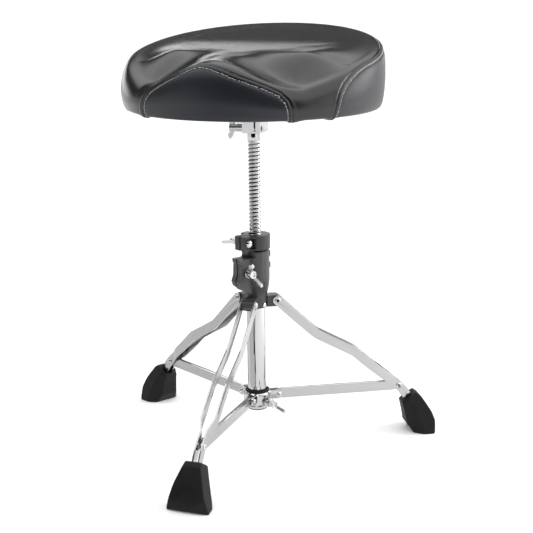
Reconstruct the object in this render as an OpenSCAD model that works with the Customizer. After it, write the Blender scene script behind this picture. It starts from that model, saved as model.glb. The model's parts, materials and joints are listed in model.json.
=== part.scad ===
// Drum throne: a saddle seat on a threaded rod, over a folding double-braced tripod.
// Millimetres, +Z up, floor at z = 0. The front leg and the nose of the seat point to -Y.

/* [Column] */
// Distance of the column axis behind the middle of the footprint
column_y = 59; // [56:0.5:62]
// Outside diameter of the fixed base tube
tube_d = 34; // [33:0.5:34]
// Wall of the base tube
tube_wall = 2; // [1.5:0.5:2]
// Height of the tube's lower end above the floor
tube_low = 65; // [64:0.5:66]
// Diameter of the threaded rod over its crests
rod_d = 22.2; // [21:0.1:22.2]
// Pitch of the rod's thread
rod_pitch = 6.5; // [6:0.5:7]
// Depth of the rod's thread
thread_depth = 1.5; // [1:0.1:1.8]

/* [Tripod] */
// Distance of each upper leg pin from the column axis
pivot_u = 36; // [36:0.5:37]
// Height of the upper leg pins
pivot_z = 261; // [260:1:262]
// Height of the braces when the tripod is open
brace_z = 87; // [87:1:88]
// Distance of each brace pin on the hub from the column axis
hub_pin_u = 37; // [36.5:0.5:37.5]
// Distance of each leg rivet from the column axis
rivet_u = 258; // [257:1:259]
// Width of a leg blade, seen from its side
blade_w = 16.5; // [16:0.5:18]
// Thickness of a leg blade
blade_t = 2.5; // [2:0.5:3]
// Height of the brace channel
brace_h = 17.5; // [16:0.5:18]
// Width of the brace channel
brace_w = 7; // [6:0.5:7]

/* [Seat] */
// Width of the seat
seat_w = 446; // [430:2:460]
// Depth of the seat, front to back
seat_depth = 406; // [390:2:420]
// Height of the lower edge of the seat
seat_low = 596; // [595:1:597]
// Height of the middle of the sitting surface
seat_mid = 683; // [675:1:686]
// Height of the nose of the saddle
nose_z = 687; // [680:1:692]
// Height of the rim in front of each thigh
thigh_z = 646; // [642:1:650]
// Height of the raised rear edge
rear_z = 727; // [720:1:730]
// Thickness of the cover
cover_t = 1.5; // [1:0.25:1.5]

/* [Clamps] */
// Direction of the split in the leg bracket's clamp
collar_az = -122; // [-125:1:-118]
// Direction of the split in the memory lock
memory_az = -117; // [-120:1:-114]
// Direction of the wing bolt on the lower hub
hub_wing_az = -30; // [-33:1:-27]
// Diameter of every wing bolt's shank
bolt_d = 8; // [7.5:0.5:8]

/* [Hidden] */
$fn = 48;

leg_az = [-90, 30, 150];
fit = 0.05;            // radial clearance of a running fit
hair = 0.02;           // radial gap between pieces fixed together
gap = 0.3;             // gap between bodies that face each other
big = 400;

chrome = "#c8cacc";
cast_black = "#26272a";
rubber_black = "#1a1a1b";
vinyl_black = "#1d1e22";
zinc = "#a9abad";
nylon_black = "#2c2c2e";

// column
tube_r = tube_d / 2;
tube_bore = tube_r - tube_wall;
tube_top = 322;
cap_flange = 2;
cap_plug = 3;
rod_r = rod_d / 2;
rod_low = 218;
rod_top = 588;
spigot_r = 8;
spigot_top = 236;
thread_low = 242;
thread_count = 46;
bush_low = 221;

// leg bracket
bracket_low = 250;
bracket_top = 351.5;
bracket_r = 24.3;
insert_top = 354;
cheek_top = 340;
pin_r = 3;
lug_half = 10.5;
lug_r = 8;
pin_head_r = 5;
pin_head_t = 2;
bracket_rivet_z = 255;
bracket_rivet_az = -22;

// clamp of the leg bracket; x runs along the split, y across it
split_half = 1.5;
collar_x = 26;
collar_z = 315;
collar_lug_half = 12.5;
collar_boss_t = 1.5;
washer_t = 1.5;
washer_r = 8;
bolt_r = bolt_d / 2;
nut_t = 6.5;
nut_r = 7.5;

// memory lock
memory_low = insert_top + gap;
memory_h = 24.7;
memory_r = 26;
memory_x = 25;
memory_z = 366.5;
memory_half = 13;
head_r = 7.6;
head_t = 5;

// wings
barrel_r = 6.5;
barrel_h = 12;
wing_t = 5.5;

// lower hub
hub_low = 69;
hub_top = 95;
hub_r = 24.5;
hub_pin_r = 2.5;
ear_in = 4;
ear_out = 8;
ear_r = 8;
ring_minor = 2.1;
hub_bolt_z = 80;
hub_boss_end = 36;

// legs; the outline is in the plane through the column, x outward and y up
blade_in = 11;         // inner face of a blade near the column
foot_in = 3.9;         // inner face of a blade near the foot
bend_start = 226;
bend_end = 244;
leg_line = [
    [pivot_u, pivot_z], [71, 227.5], [101, 200], [110, 193.2], [142, 175.8], [168, 161.5],
    [177, 155.5], [206, 130], [rivet_u, brace_z], [273, 68], [286, 50]
];
leg_end = leg_line[len(leg_line) - 1];
line_steps = 3;
brace_end_r = 7;
socket_gap = 0.2;
spacer_r = 4.5;

// feet
foot_outline = [
    [283, 0], [317, 0], [322.5, 3.5], [324, 9], [322, 20], [316, 38], [306.5, 54], [297, 68],
    [289, 74], [263, 56.5], [268.5, 35], [272, 16]
];
foot_front = [
    [-36, 0], [36, 0], [35.5, 6], [24.5, 46], [13, 76], [-13, 76], [-24.5, 46], [-35.5, 6]
];
foot_plan = [[255, 12], [266, 14], [283, 24], [297, 34.5], [315, 36.5], [340, 38]];
foot_arc_r = 130;
foot_tip_u = 324;

// seat; phi runs from the nose, round the seat
board_low = seat_low + 1.6;
board_t = 12;
foam_low = board_low + board_t + gap;
edge_in = 26;          // from the widest outline in to the crest of the rim
fold_in = 40;          // from the widest outline in to the edge of the cover under the board
seat_steps = 64;
side_rings = [
    [fold_in, 0], [7, 0], [2.5, 0.04], [0.5, 0.2], [0, 0.55], [3, 0.84], [12, 0.96], [edge_in, 1]
];
top_rings = [0.88, 0.74, 0.6, 0.45, 0.3, 0.15];
valley_phi = 44;       // where the rim is lowest, in front of the thigh
rise_power = 0.62;     // how early the rim rises behind the thigh
plate_size = [96, 76];
plate_t = 3;
plate_bolt = [36, 27];
clamp_low = 555;
clamp_front = -23;
clamp_bolt_y = -15.6;
clamp_bolt_z = 563;
tee_r = 4.5;
tee_flange_r = 9;
tee_flange_t = 1.5;

// ---------- frames ----------

module toward(az) {
    translate([0, column_y, 0])
        rotate([0, 0, az])
            children();
}

module column() {
    toward(0) children();
}

// a cylinder along y, centred on the plane y = 0
module cross_cylinder(r, h) {
    rotate([90, 0, 0])
        cylinder(r = r, h = h, center = true);
}

// a cylinder along y from y0 to y1
module cross_rod(r, y0, y1) {
    translate([0, y1, 0])
        rotate([90, 0, 0])
            cylinder(r = r, h = y1 - y0);
}

// an outline given as outward and upward, extruded between y0 and y1
module side_extrude(y0, y1) {
    translate([0, y1, 0])
        rotate([90, 0, 0])
            linear_extrude(height = y1 - y0)
                children();
}

// ---------- wing bolts ----------

// one wing, as outward distance and distance along the axis
module wing_outline(span, lift) {
    polygon([[0, 2], [barrel_r, 3], [span - 4, lift - 3], [span, lift], [span - 1, lift + 4],
        [span - 7, lift + 5.5], [barrel_r, barrel_h], [0, barrel_h]]);
}

// barrel and wings of a wing bolt or nut, along +z from z = 0; the wings lie in the plane y = 0
module wings(span, lift, bore) {
    difference() {
        union() {
            cylinder(r = barrel_r, h = barrel_h);
            for (side = [0, 1])
                mirror([side, 0, 0])
                    side_extrude(-wing_t / 2, wing_t / 2)
                        wing_outline(span, lift);
        }
        if (bore > 0)
            translate([0, 0, -1])
                cylinder(r = bore, h = barrel_h + 2);
        if (bore == 0)
            translate([0, 0, barrel_h - 2])
                cylinder(r = barrel_r - 2.5, h = 3);
    }
}

// a wing bolt: wings above z = 0 and a shank of the given length below
module wing_bolt(span, lift, shank) {
    wings(span, lift, 0);
    translate([0, 0, -shank])
        cylinder(r = bolt_r - fit, h = shank + 1);
}

// ---------- column ----------

module base_tube() {
    color(chrome)
        difference() {
            column()
                translate([0, 0, tube_low])
                    cylinder(r = tube_r, h = tube_top - tube_low);
            column()
                translate([0, 0, tube_low - 1])
                    cylinder(r = tube_bore, h = tube_top - tube_low + 2);
            for (k = [0:2])
                toward(bracket_rivet_az + 120 * k)
                    translate([tube_bore - 2, 0, bracket_rivet_z])
                        rotate([0, 90, 0])
                            cylinder(r = 2.5, h = 8);
        }
}

module tube_cap() {
    color(nylon_black)
        column()
            difference() {
                union() {
                    translate([0, 0, tube_low - cap_flange])
                        cylinder(r = tube_r, h = cap_flange);
                    translate([0, 0, tube_low - cap_flange / 2])
                        cylinder(r = tube_bore - hair, h = cap_plug + cap_flange / 2);
                }
                translate([0, 0, tube_low - cap_flange - 1])
                    cylinder(r = 4, h = 12);
            }
}

module bracket_barrel() {
    rotate_extrude()
        polygon([
            [tube_r + hair, bracket_low], [19.5, bracket_low], [19.5, 272], [22.5, 286],
            [bracket_r, 300], [bracket_r, bracket_top - 1.5], [23, bracket_top],
            [tube_r + hair, bracket_top]
        ]);
}

// the block that carries one leg, between its two blades
module bracket_lug() {
    side_extrude(-lug_half, lug_half)
        union() {
            translate([18.5, pivot_z - 11])
                square([pivot_u - 18.5, 20]);
            translate([pivot_u, pivot_z])
                circle(r = lug_r);
        }
}

// one cheek of the split clamp
module collar_cheek(y0, y1) {
    side_extrude(y0, y1)
        polygon([[18, 277], [30, 283], [40.5, 292], [43.5, 300], [39.5, 311], [38.5, 331],
            [40.5, 334], [40.5, cheek_top], [18, cheek_top]]);
}

module leg_bracket() {
    color(cast_black)
        difference() {
            union() {
                column() bracket_barrel();
                for (az = leg_az)
                    toward(az) bracket_lug();
                toward(collar_az) collar_cheek(-collar_lug_half, collar_lug_half);
                toward(collar_az)
                    translate([collar_x, 0, collar_z])
                        cross_rod(washer_r + 1.5, 0, collar_lug_half + collar_boss_t);
                for (z = [317, 337])
                    toward(collar_az + 180)
                        translate([bracket_r - 3, -8, z])
                            cube([5.5, 16, 10]);
            }
            column()
                translate([0, 0, bracket_low - 1])
                    cylinder(r = tube_r + hair, h = 120);
            toward(collar_az)
                translate([tube_r - 4, -split_half, 281])
                    cube([40, 2 * split_half, 75]);
            toward(collar_az)
                translate([14.6, -30, cheek_top + 1])
                    cube([40, 60, 20]);
            toward(collar_az)
                translate([collar_x, 0, collar_z]) {
                    cross_rod(washer_r + 1.5, collar_lug_half + collar_boss_t, 40);
                    cross_rod(nut_r + 1.5, -40, -collar_lug_half);
                }
            toward(collar_az)
                translate([collar_x, 0, collar_z])
                    cross_cylinder(bolt_r + fit, 60);
            for (az = leg_az)
                toward(az)
                    translate([pivot_u, 0, pivot_z])
                        cross_cylinder(pin_r + hair, 40);
            for (k = [0:2])
                toward(bracket_rivet_az + 120 * k)
                    translate([tube_bore, 0, bracket_rivet_z])
                        rotate([0, 90, 0])
                            cylinder(r = 2.5, h = 12);
        }
}

module thread_insert() {
    color(nylon_black)
        column()
            rotate_extrude()
                polygon([
                    [rod_r + fit, tube_top + hair], [tube_r - hair, tube_top + hair],
                    [tube_r - hair, bracket_top + hair], [18, bracket_top + hair],
                    [18, insert_top - 1], [17, insert_top], [rod_r + fit, insert_top]
                ]);
}

module bracket_rivets() {
    color(zinc)
        for (k = [0:2])
            toward(bracket_rivet_az + 120 * k)
                translate([0, 0, bracket_rivet_z])
                    rotate([0, 90, 0])
                        rotate_extrude()
                            polygon([[0, tube_bore + 0.1], [2.5 - hair, tube_bore + 0.1],
                                [2.5 - hair, 19.7], [4.2, 19.7], [3.8, 21], [2, 21.8], [0, 21.8]]);
}

module leg_pins() {
    color(zinc)
        for (az = leg_az)
            toward(az)
                translate([pivot_u, 0, pivot_z]) {
                    cross_cylinder(pin_r, 2 * (blade_in + blade_t + 1));
                    for (side = [0, 1])
                        mirror([0, side, 0])
                            cross_rod(pin_head_r, blade_in + blade_t + 0.1,
                                blade_in + blade_t + 0.1 + pin_head_t);
                }
}

module collar_washer() {
    y0 = collar_lug_half + collar_boss_t;
    color(chrome)
        toward(collar_az)
            translate([collar_x, 0, collar_z])
                difference() {
                    cross_rod(washer_r, y0, y0 + washer_t);
                    cross_cylinder(bolt_r + fit, 60);
                }
}

module collar_nut() {
    color(zinc)
        toward(collar_az)
            translate([collar_x, -collar_lug_half, collar_z])
                rotate([90, 0, 0])
                    difference() {
                        cylinder(r = nut_r, h = nut_t, $fn = 6);
                        translate([0, 0, -1])
                            cylinder(r = bolt_r, h = nut_t + 2);
                    }
}

module collar_wing_bolt() {
    y0 = collar_lug_half + collar_boss_t + washer_t + gap;
    color(chrome)
        toward(collar_az)
            translate([collar_x, y0, collar_z])
                rotate([-90, -63, 0])
                    wing_bolt(25, 18, y0 + collar_lug_half + nut_t + 3);
}

// ---------- rod ----------

function thread_points(k) =
    let (z = thread_low + k * rod_pitch)
    [[rod_r, z], [rod_r - thread_depth, z + rod_pitch * 0.25],
        [rod_r - thread_depth, z + rod_pitch * 0.45], [rod_r, z + rod_pitch * 0.7]];

module threaded_rod() {
    color(chrome)
        column()
            rotate_extrude()
                polygon(concat(
                    [[0, rod_low], [spigot_r - 1, rod_low], [spigot_r, rod_low + 1],
                        [spigot_r, spigot_top], [rod_r - 1, spigot_top],
                        [rod_r, spigot_top + 1]],
                    [for (k = [0:thread_count - 1]) each thread_points(k)],
                    [[rod_r, rod_top - 1.5], [rod_r - 1.5, rod_top], [0, rod_top]]
                ));
}

module rod_bush() {
    color(nylon_black)
        column()
            translate([0, 0, bush_low])
                difference() {
                    cylinder(r = tube_bore - fit, h = spigot_top - gap - bush_low);
                    translate([0, 0, -1])
                        cylinder(r = spigot_r + fit, h = 20);
                }
}

module rod_clip() {
    color(zinc)
        column()
            translate([0, 0, rod_low + 1.2])
                difference() {
                    cylinder(r = 12, h = 1.5);
                    translate([0, 0, -1])
                        cylinder(r = spigot_r + hair, h = 4);
                    translate([0, -2, -1])
                        cube([14, 4, 4]);
                }
}

// ---------- seat ----------

function outline_r(phi) =
    let (a = seat_w / 2, b = seat_depth / 2)
    a * b / sqrt(pow(b * sin(phi), 2) + pow(a * cos(phi), 2));

function from_nose(phi) = phi > 180 ? 360 - phi : phi;

function rise(phi) =
    0.5 - 0.5 * cos(180 * pow((phi - valley_phi) / (180 - valley_phi), rise_power));

function rim_z(phi) =
    let (p = from_nose(phi))
    p < valley_phi
        ? thigh_z + (nose_z - thigh_z) * (0.5 + 0.5 * cos(180 * p / valley_phi))
        : thigh_z + (rear_z - thigh_z) * rise(p);

function smooth(s) = s * s * (3 - 2 * s);

function on_seat(phi, r, z) = [r * sin(phi), -r * cos(phi), z];

// the ring k of the seat's skin, drawn in by t all over
function seat_ring(k, t) =
    [for (i = [0:seat_steps - 1])
        let (phi = 360 * i / seat_steps, low = seat_low + t, top = rim_z(phi) - t)
        k < len(side_rings)
            ? on_seat(phi, outline_r(phi) - t - side_rings[k][0],
                low + side_rings[k][1] * (top - low))
            : let (s = top_rings[k - len(side_rings)])
                on_seat(phi, s * (outline_r(phi) - t - edge_in),
                    seat_mid - t + (rim_z(phi) - seat_mid) * smooth(s))];

rings = len(side_rings) + len(top_rings);

// every point of the skin, ring by ring from the bottom, and last the middle of the top
function skin_points(t) = concat(
    [for (k = [0:rings - 1]) each seat_ring(k, t)],
    [[0, 0, seat_mid - t]]
);

// the faces of that skin, whose points start at number first
function skin_faces(first) =
    let (n = seat_steps)
    concat(
        [for (k = [0:rings - 2], i = [0:n - 1])
            let (a = first + k * n + i, b = first + k * n + (i + 1) % n)
            each [[a, a + n, b + n], [a, b + n, b]]],
        [for (i = [0:n - 1])
            let (a = first + (rings - 1) * n)
            [first + rings * n, a + (i + 1) % n, a + i]]
    );

function turned_over(faces) = [for (f = faces) [f[2], f[1], f[0]]];

// the whole seat, drawn in by t all over
module seat_solid(t) {
    points = concat(skin_points(t), [[0, 0, seat_low + t]]);
    low_cap = [for (i = [0:seat_steps - 1]) [len(points) - 1, i, (i + 1) % seat_steps]];
    column()
        polyhedron(points = points, faces = concat(skin_faces(0), low_cap));
}

// the seat's outline drawn in by a distance
module seat_plan(inset) {
    polygon([for (i = [0:seat_steps - 1])
        let (phi = 360 * i / seat_steps, r = outline_r(phi) - inset)
        [r * sin(phi), -r * cos(phi)]]);
}

module at_plate_bolts() {
    for (x = [-1, 1], y = [-1, 1])
        column()
            translate([x * plate_bolt[0], y * plate_bolt[1], 0])
                children();
}

// one skin inside the other, joined along the edge that folds under the board
module seat_cover() {
    outer = skin_points(0);
    inner = skin_points(cover_t);
    m = len(outer);
    hem = [for (i = [0:seat_steps - 1])
        let (j = (i + 1) % seat_steps)
        each [[i, j, m + j], [i, m + j, m + i]]];
    color(vinyl_black)
        column()
            polyhedron(
                points = concat(outer, inner),
                faces = concat(skin_faces(0), turned_over(skin_faces(m)), hem)
            );
}

module seat_foam() {
    color("#d8d2b8")
        intersection() {
            seat_solid(cover_t + 0.5);
            translate([-big, -big, foam_low])
                cube([2 * big, 2 * big, 200]);
        }
}

module seat_board() {
    color("#b48a5a")
        difference() {
            column()
                translate([0, 0, board_low])
                    linear_extrude(height = board_t)
                        seat_plan(19);
            at_plate_bolts()
                translate([0, 0, board_low - 1])
                    cylinder(r = tee_r + hair, h = board_t + 2);
            at_plate_bolts()
                translate([0, 0, board_low + board_t - tee_flange_t - hair])
                    cylinder(r = tee_flange_r + hair, h = 5);
        }
}

module dust_cover() {
    color("#202022")
        column()
            translate([0, 0, board_low - 1])
                linear_extrude(height = 0.8)
                    difference() {
                        seat_plan(fold_in + cover_t + gap);
                        square([plate_size[0] + 2, plate_size[1] + 2], center = true);
                    }
}

module seat_clamp() {
    color(chrome)
        difference() {
            column()
                union() {
                    translate([-plate_size[0] / 2, -plate_size[1] / 2, board_low - plate_t])
                        cube([plate_size[0], plate_size[1], plate_t]);
                    translate([-12, clamp_front, clamp_low])
                        cube([32, 41, board_low - plate_t - clamp_low]);
                    translate([-24, clamp_front, clamp_bolt_z + 9])
                        cube([13, 41, board_low - plate_t - clamp_bolt_z - 9]);
                    translate([-12, clamp_bolt_y, clamp_bolt_z])
                        rotate([0, -90, 0])
                            cylinder(r = 7, h = 12);
                }
            column()
                translate([0, 0, clamp_low - 1])
                    cylinder(r = rod_r + fit, h = rod_top + 2 - clamp_low);
            column()
                translate([9, clamp_front - 1, clamp_low - 1])
                    cube([3, -clamp_front, rod_top + 2 - clamp_low]);
            column()
                translate([-40, clamp_bolt_y, clamp_bolt_z])
                    rotate([0, 90, 0])
                        cylinder(r = bolt_r, h = 80);
            at_plate_bolts()
                translate([0, 0, board_low - 20])
                    cylinder(r = 3.3, h = 40);
        }
}

module clamp_bolts() {
    color(zinc)
        at_plate_bolts() {
            translate([0, 0, board_low - plate_t - 4])
                cylinder(r = 5.5, h = 4, $fn = 6);
            translate([0, 0, board_low - plate_t - 1])
                cylinder(r = 3, h = plate_t + board_t);
        }
}

module tee_nuts() {
    color(zinc)
        at_plate_bolts()
            difference() {
                union() {
                    translate([0, 0, board_low + hair])
                        cylinder(r = tee_r, h = board_t - 2 * hair);
                    translate([0, 0, board_low + board_t - tee_flange_t])
                        cylinder(r = tee_flange_r, h = tee_flange_t - hair);
                }
                translate([0, 0, board_low - 1])
                    cylinder(r = 3 + hair, h = board_t + 3);
            }
}

module seat_wing_bolt() {
    color(chrome)
        column()
            translate([-24 - gap, clamp_bolt_y, clamp_bolt_z])
                rotate([0, -90, 0])
                    wing_bolt(19, 10, 42);
}

// ---------- memory lock ----------

module memory_clamp() {
    color(cast_black)
        toward(memory_az)
            difference() {
                union() {
                    translate([0, 0, memory_low])
                        cylinder(r = memory_r, h = memory_h);
                    translate([10, -memory_half, memory_low])
                        cube([25, 2 * memory_half, memory_h]);
                }
                translate([0, 0, memory_low - 1])
                    cylinder(r = rod_r + 0.2, h = memory_h + 2);
                translate([8, -split_half, memory_low - 1])
                    cube([40, 2 * split_half, memory_h + 2]);
                translate([memory_x, 0, memory_z])
                    cross_cylinder(bolt_r + hair, 60);
                translate([memory_x - 9, memory_half - 1.5, memory_z - 9])
                    cube([18, 15, 18]);
                translate([memory_x - 13, -memory_half - 15, memory_low - 1])
                    cube([30, 15, memory_h + 2]);
            }
}

module memory_bolt() {
    y0 = memory_half - 1.5;
    color(chrome)
        toward(memory_az)
            translate([memory_x, 0, memory_z])
                rotate([-90, 0, 0])
                    rotate_extrude()
                        polygon([[0, -34], [bolt_r, -34], [bolt_r, y0], [head_r, y0],
                            [head_r, y0 + 1.5], [head_r - 1, y0 + 3], [head_r - 3, y0 + head_t - 0.6],
                            [head_r - 5, y0 + head_t], [0, y0 + head_t]]);
}

module memory_washer() {
    color(zinc)
        toward(memory_az)
            translate([memory_x, 0, memory_z])
                difference() {
                    cross_rod(washer_r, -memory_half - washer_t, -memory_half);
                    cross_cylinder(bolt_r + hair, 60);
                }
}

module memory_wing_nut() {
    color(chrome)
        toward(memory_az)
            translate([memory_x, -memory_half - washer_t - gap, memory_z])
                rotate([90, 0, 0])
                    wings(22, 16, bolt_r + fit);
}

// ---------- lower hub ----------

module hub_lug() {
    for (side = [0, 1])
        mirror([0, side, 0])
            side_extrude(ear_in, ear_out)
                union() {
                    translate([20, brace_z - ear_r])
                        square([hub_pin_u - 20, 2 * ear_r]);
                    translate([hub_pin_u, brace_z])
                        circle(r = ear_r);
                }
}

module lower_hub() {
    color(chrome)
        difference() {
            union() {
                column()
                    rotate_extrude()
                        polygon([[tube_r, hub_low + 1], [hub_r - 2, hub_low],
                            [hub_r, hub_low + 2.5], [hub_r - 2, hub_low + 6],
                            [hub_r - 2, hub_top - 2], [hub_r - 4, hub_top], [tube_r, hub_top]]);
                toward(hub_wing_az)
                    translate([0, 0, hub_low + 4])
                        cylinder(r = hub_r + 0.5, h = hub_top - hub_low - 7, $fn = 8);
                for (az = leg_az)
                    toward(az) hub_lug();
                toward(hub_wing_az)
                    translate([20, 0, hub_bolt_z])
                        rotate([0, 90, 0])
                            cylinder(r = 8, h = hub_boss_end - 20);
            }
            column()
                translate([0, 0, hub_low - 1])
                    cylinder(r = tube_r + fit, h = 60);
            for (az = leg_az)
                toward(az)
                    translate([hub_pin_u, 0, brace_z])
                        cross_cylinder(hub_pin_r + hair, 40);
            toward(hub_wing_az)
                translate([10, 0, hub_bolt_z])
                    rotate([0, 90, 0])
                        cylinder(r = bolt_r, h = 40);
        }
}

module hub_ring() {
    color(rubber_black)
        column()
            translate([0, 0, hub_top + ring_minor + hair])
                rotate_extrude()
                    translate([tube_r + ring_minor + 0.1, 0])
                        circle(r = ring_minor);
}

module hub_pins() {
    color(zinc)
        for (az = leg_az)
            toward(az)
                translate([hub_pin_u, 0, brace_z]) {
                    cross_cylinder(hub_pin_r, 2 * ear_out + 2);
                    for (side = [0, 1])
                        mirror([0, side, 0])
                            cross_rod(4, ear_out + hair, ear_out + 1.5);
                }
}

module hub_wing_bolt() {
    color(chrome)
        toward(hub_wing_az)
            translate([hub_boss_end + gap, 0, hub_bolt_z])
                rotate([0, 90, 0])
                    rotate([0, 0, 45])
                        wing_bolt(22, 18, hub_boss_end + gap - tube_r - 1);
}

// ---------- legs ----------

// a point at t, from 0 to 1, between b and c on a smooth curve through a, b, c and d
function curve(a, b, c, d, t) =
    0.5 * (2 * b + (c - a) * t + (2 * a - 5 * b + 4 * c - d) * t * t
        + (3 * b - a - 3 * c + d) * t * t * t);

function smooth_line(p) =
    let (last = len(p) - 1)
    concat(
        [for (i = [0:last - 1], s = [0:line_steps - 1])
            curve(p[max(i - 1, 0)], p[i], p[i + 1], p[min(i + 2, last)], s / line_steps)],
        [p[last]]
    );

function heading(q, i) =
    let (a = q[max(i - 1, 0)], b = q[min(i + 1, len(q) - 1)])
    (b - a) / norm(b - a);

// both edges of a strip of half-width h along the line q, with round ends
function strip(q, h) =
    let (n = len(q) - 1, first = heading(q, 0), last = heading(q, n))
    concat(
        [for (i = [0:n]) q[i] + h * [-heading(q, i)[1], heading(q, i)[0]]],
        [for (a = [75:-15:-75]) q[n] + h * (cos(a) * last + sin(a) * [-last[1], last[0]])],
        [for (i = [n:-1:0]) q[i] - h * [-heading(q, i)[1], heading(q, i)[0]]],
        [for (a = [75:-15:-75]) q[0] - h * (cos(a) * first + sin(a) * [-first[1], first[0]])]
    );

leg_curve = smooth_line(leg_line);

// where one blade runs, seen from above
module blade_band() {
    polygon([
        [20, blade_in], [bend_start, blade_in], [bend_end, foot_in], [340, foot_in],
        [340, foot_in + blade_t], [bend_end + 0.7, foot_in + blade_t],
        [bend_start + 0.7, blade_in + blade_t], [20, blade_in + blade_t]
    ]);
}

module blade(side) {
    color(chrome)
        mirror([0, side, 0])
            difference() {
                intersection() {
                    side_extrude(0, 40) polygon(strip(leg_curve, blade_w / 2));
                    linear_extrude(height = 300) blade_band();
                }
                translate([pivot_u, 0, pivot_z])
                    cross_cylinder(pin_r + fit, 60);
                translate([rivet_u, 0, brace_z])
                    cross_cylinder(pin_r + hair, 60);
                translate([leg_end[0], 0, leg_end[1]])
                    cross_cylinder(pin_r + hair, 60);
            }
}

module leg_rivets() {
    color(zinc)
        translate([rivet_u, 0, brace_z])
            for (side = [0, 1])
                mirror([0, side, 0]) {
                    cross_rod(pin_r, foot_in - 0.2, foot_in + blade_t + 1);
                    cross_rod(pin_head_r, foot_in + blade_t + hair, foot_in + blade_t + 2);
                }
}

module leg_spacer() {
    color(zinc)
        translate([leg_end[0], 0, leg_end[1]]) {
            cross_cylinder(spacer_r, 2 * foot_in - 2 * hair);
            cross_cylinder(pin_r, 2 * (foot_in + blade_t));
        }
}

module foot() {
    color(rubber_black)
        difference() {
            intersection() {
                side_extrude(-50, 50) polygon(foot_outline);
                translate([0, 0, -1])
                    rotate([90, 0, 90])
                        translate([0, 1, 0])
                            linear_extrude(height = 400)
                                polygon(foot_front);
                translate([foot_tip_u - foot_arc_r, 0, -1])
                    cylinder(r = foot_arc_r, h = 100, $fn = 96);
                linear_extrude(height = 100)
                    polygon(concat(foot_plan,
                        [for (k = [len(foot_plan) - 1:-1:0]) [foot_plan[k][0], -foot_plan[k][1]]]));
            }
            side_extrude(-foot_in - blade_t - socket_gap, foot_in + blade_t + socket_gap)
                polygon(strip(leg_curve, blade_w / 2 + socket_gap));
        }
}

module brace() {
    color(chrome)
        difference() {
            union() {
                side_extrude(-brace_w / 2, brace_w / 2)
                    polygon([
                        [hub_pin_u, brace_z - brace_end_r], [hub_pin_u + 8, brace_z - brace_h / 2],
                        [rivet_u - 14, brace_z - brace_h / 2], [rivet_u, brace_z - brace_end_r],
                        [rivet_u, brace_z + brace_end_r], [rivet_u - 14, brace_z + brace_h / 2],
                        [hub_pin_u + 8, brace_z + brace_h / 2], [hub_pin_u, brace_z + brace_end_r]
                    ]);
                for (u = [hub_pin_u, rivet_u])
                    translate([u, 0, brace_z])
                        cross_cylinder(brace_end_r, brace_w);
            }
            translate([hub_pin_u - 20, -brace_w / 2 + 1.5, brace_z - brace_h / 2 - 1])
                cube([rivet_u - hub_pin_u + 40, brace_w - 3, brace_h - 0.5]);
            translate([hub_pin_u, 0, brace_z])
                cross_cylinder(hub_pin_r + fit, 20);
            translate([rivet_u, 0, brace_z])
                cross_cylinder(pin_r + 0.1, 20);
        }
}

base_tube();
tube_cap();
leg_bracket();
thread_insert();
bracket_rivets();
leg_pins();
collar_washer();
collar_nut();
collar_wing_bolt();
rod_bush();
threaded_rod();
rod_clip();
seat_cover();
seat_foam();
seat_board();
dust_cover();
seat_clamp();
clamp_bolts();
tee_nuts();
seat_wing_bolt();
memory_clamp();
memory_bolt();
memory_washer();
memory_wing_nut();
lower_hub();
hub_ring();
hub_pins();
hub_wing_bolt();
toward(leg_az[0]) blade(0);  // leg_1_left
toward(leg_az[0]) blade(1);  // leg_1_right
toward(leg_az[0]) leg_rivets();  // leg_1_rivets
toward(leg_az[0]) leg_spacer();  // leg_1_spacer
toward(leg_az[0]) foot();  // foot_1
toward(leg_az[0]) brace();  // brace_1
toward(leg_az[1]) blade(0);  // leg_2_left
toward(leg_az[1]) blade(1);  // leg_2_right
toward(leg_az[1]) leg_rivets();  // leg_2_rivets
toward(leg_az[1]) leg_spacer();  // leg_2_spacer
toward(leg_az[1]) foot();  // foot_2
toward(leg_az[1]) brace();  // brace_2
toward(leg_az[2]) blade(0);  // leg_3_left
toward(leg_az[2]) blade(1);  // leg_3_right
toward(leg_az[2]) leg_rivets();  // leg_3_rivets
toward(leg_az[2]) leg_spacer();  // leg_3_spacer
toward(leg_az[2]) foot();  // foot_3
toward(leg_az[2]) brace();  // brace_3
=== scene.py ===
"""Looks of the drum throne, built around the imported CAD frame.

Metres, +Z up, the nose of the seat towards -Y."""

import json
import math

import bmesh
import bpy
import numpy as np
from mathutils import Matrix, Vector
from mathutils.bvhtree import BVHTree
from mathutils.kdtree import KDTree

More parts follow.
